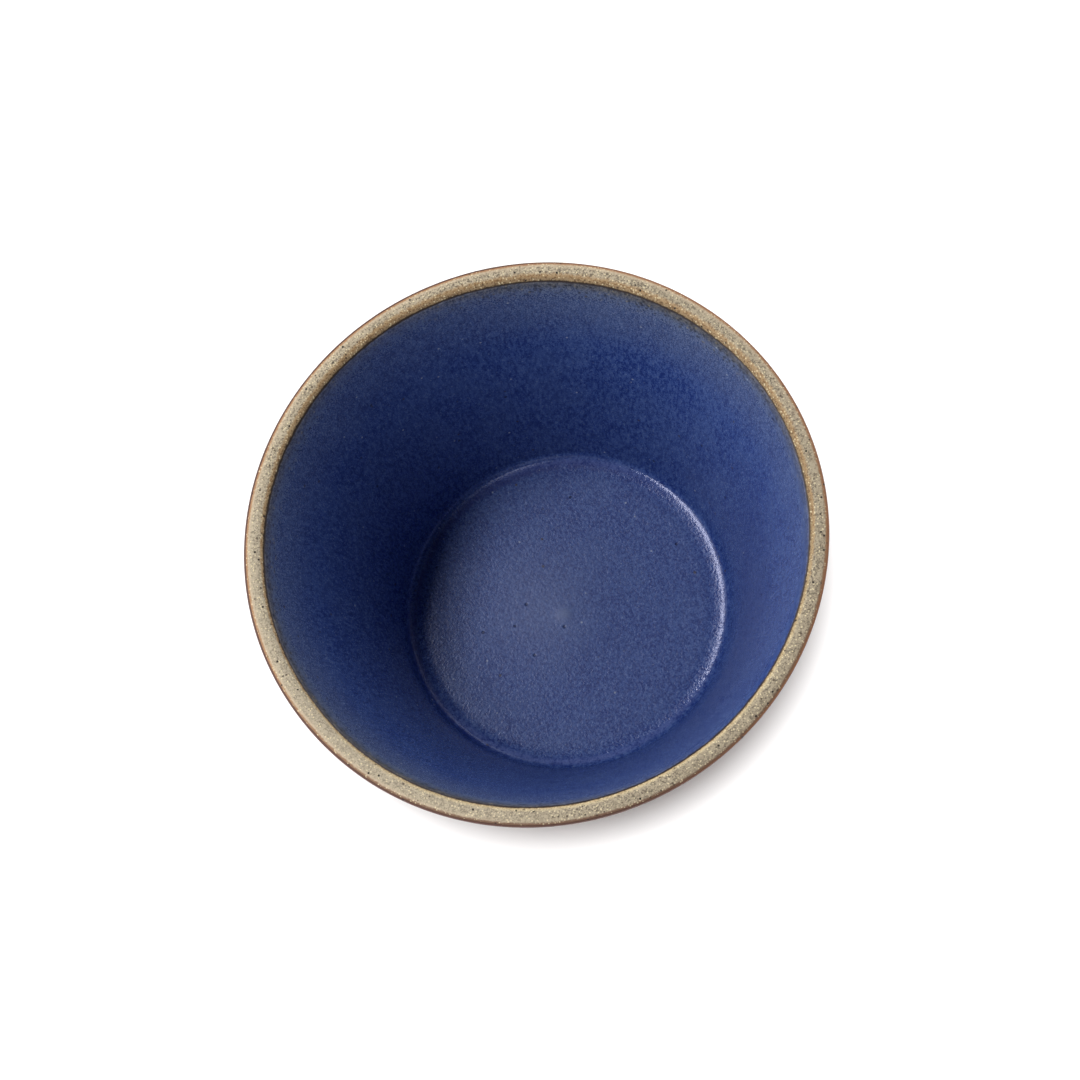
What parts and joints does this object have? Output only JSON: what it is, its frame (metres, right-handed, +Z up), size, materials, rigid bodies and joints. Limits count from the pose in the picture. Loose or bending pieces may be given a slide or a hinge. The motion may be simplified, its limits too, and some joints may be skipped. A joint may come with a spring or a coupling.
{
  "type": "shaving mug",
  "caption": "Handleless stoneware shaving mug: conical bowl on a turned foot, glazed inside and out, with a bare clay lip.",
  "frame": {"origin": "centre of the foot ring, on the surface the mug stands on", "axes": "+Z up along the mug's axis, out of its mouth; X and Y are any two square directions, because the mug is round"},
  "size_m": [0.1, 0.1, 0.056],
  "materials": {
    "bare_stoneware": "matte",
    "blue_satin_glaze": "satin",
    "red_brown_satin_glaze": "satin"
  },
  "bodies": {
    "root": {"stoneware_body": "bare_stoneware", "interior_glaze": "blue_satin_glaze", "exterior_glaze": "red_brown_satin_glaze"}
  },
  "joints": []
}
